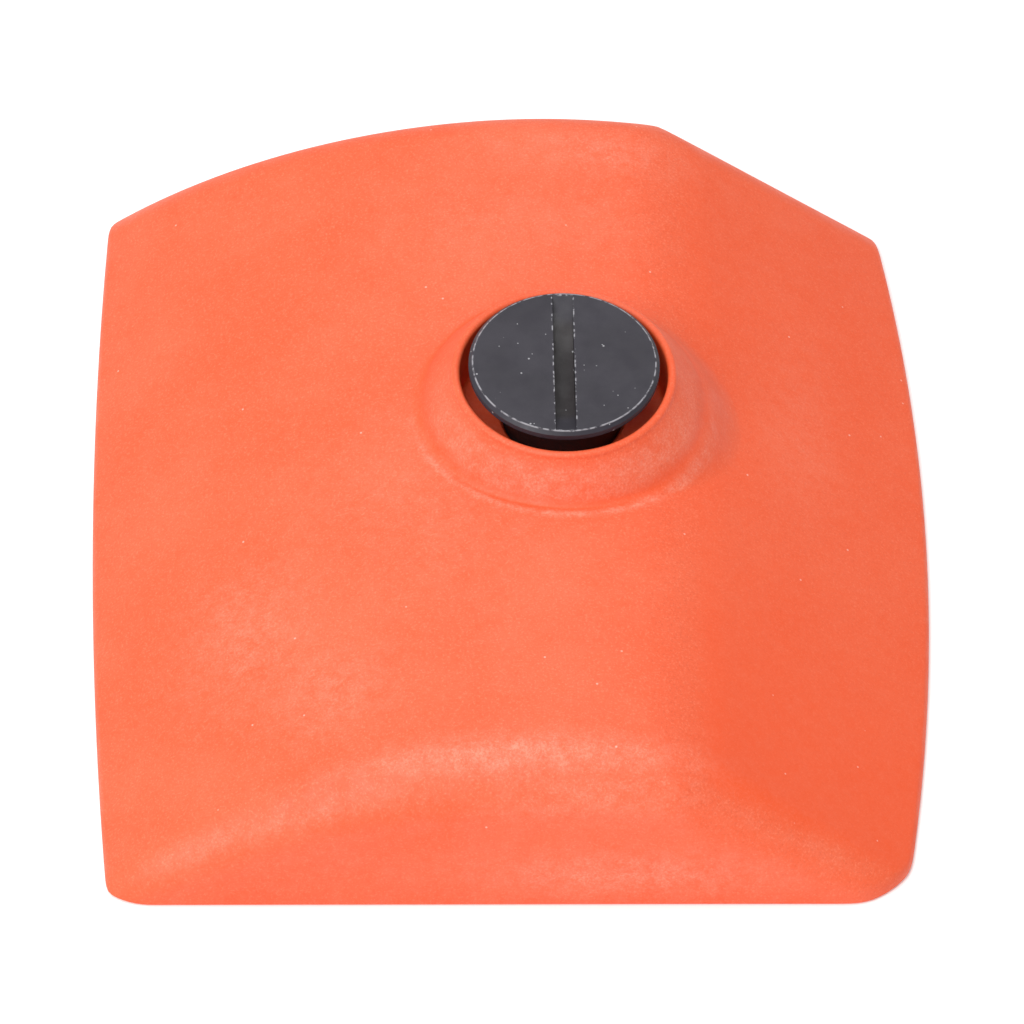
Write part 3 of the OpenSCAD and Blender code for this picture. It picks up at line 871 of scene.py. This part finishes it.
def make_camera():
    """The photograph's view: a long lens, from above the front, turned a little."""
    elevation, yaw, roll = math.radians(49.0), math.radians(2.5), math.radians(1.85)
    distance, lens = 1.188, 386.0
    target = Vector((0.00035, 0.0047, 0.0))
    forward = Vector((math.cos(elevation) * math.sin(yaw), math.cos(elevation) * math.cos(yaw),
                      -math.sin(elevation)))
    right = forward.cross(Vector((0, 0, 1))).normalized()
    up = right.cross(forward)
    tilted_right = right * math.cos(roll) + up * math.sin(roll)
    tilted_up = up * math.cos(roll) - right * math.sin(roll)
    camera = bpy.data.objects.new("camera", bpy.data.cameras.new("camera"))
    bpy.context.scene.collection.objects.link(camera)
    camera.data.lens = lens
    camera.data.sensor_width = 36.0
    camera.data.clip_start, camera.data.clip_end = 0.05, 20.0
    turn = Matrix((tilted_right, tilted_up, -forward)).transposed()
    camera.matrix_world = Matrix.Translation(target - forward * distance) @ turn.to_4x4()
    bpy.context.scene.camera = camera


def make_floor():
    """A plain pale floor, just below the part."""
    mesh = bpy.data.meshes.new("floor")
    half, below = 6.0, 0.00005
    corners = [(-half, -half, 0), (half, -half, 0), (half, half, 0), (-half, half, 0)]
    mesh.from_pydata(corners, [], [(0, 1, 2, 3)])
    floor = bpy.data.objects.new("floor", mesh)
    floor.location.z = -below
    bpy.context.scene.collection.objects.link(floor)
    look = Look("floor", Roughness=0.9)
    look.colour(look.mix(look.noise(400), rgb(252, 252, 252), rgb(254, 254, 254)))
    look.shader.inputs["Emission Color"].default_value = (1, 1, 1, 1)
    look.shader.inputs["Emission Strength"].default_value = 0.12
    mesh.materials.append(look.material)


def make_light(name, place, aim, size, power):
    """A white rectangular lamp at place that points at aim. power is in watts."""
    data = bpy.data.lights.new(name, "AREA")
    data.shape = "RECTANGLE"
    data.size, data.size_y = size
    data.energy = power
    light = bpy.data.objects.new(name, data)
    light.location = place
    light.rotation_mode = "QUATERNION"
    light.rotation_quaternion = (Vector(aim) - Vector(place)).to_track_quat("-Z", "Y")
    bpy.context.scene.collection.objects.link(light)


def make_lights():
    """Soft studio light: an even white surround and three lamps."""
    world = bpy.data.worlds.new("studio")
    world.use_nodes = True
    background = world.node_tree.nodes["Background"]
    background.inputs["Color"].default_value = (1, 1, 1, 1)
    background.inputs["Strength"].default_value = 0.43
    bpy.context.scene.world = world
    middle = (0, 0, 0.01)
    make_light("key", (-0.37, -0.42, 0.72), middle, (0.5, 0.5), 4.85)
    make_light("top", (-0.1, 0.1, 0.85), middle, (0.5, 0.5), 2.5)
    make_light("back", (0.1, 0.7, 0.5), middle, (0.5, 0.3), 0.7)


bpy.context.scene.view_settings.view_transform = "Standard"

make_camera()
make_floor()
make_lights()

for node in frame["nodes"]:
    dress(frame["nodes"][node], SLOT_OF[node])

make_cover()
make_cover_walls()
make_stud()
make_spring()
for node in ("threaded_insert", "retaining_ring", "thrust_washer", "stud_washer", "stud_nut",
             "mounting_sleeves"):
    bevelled(node, 0.12)
for node in ("filter_upper_frame", "filter_lower_frame", "filter_centre_sleeve", "base_plate"):
    bevelled(node, 0.18)
for node in ("cover_seal", "filter_joint_seal", "filter_outlet_seal", "intake_grommet",
             "base_gasket", "inlet_screen", "filter_upper_mesh", "filter_lower_mesh"):
    bevelled(node, 0.08)
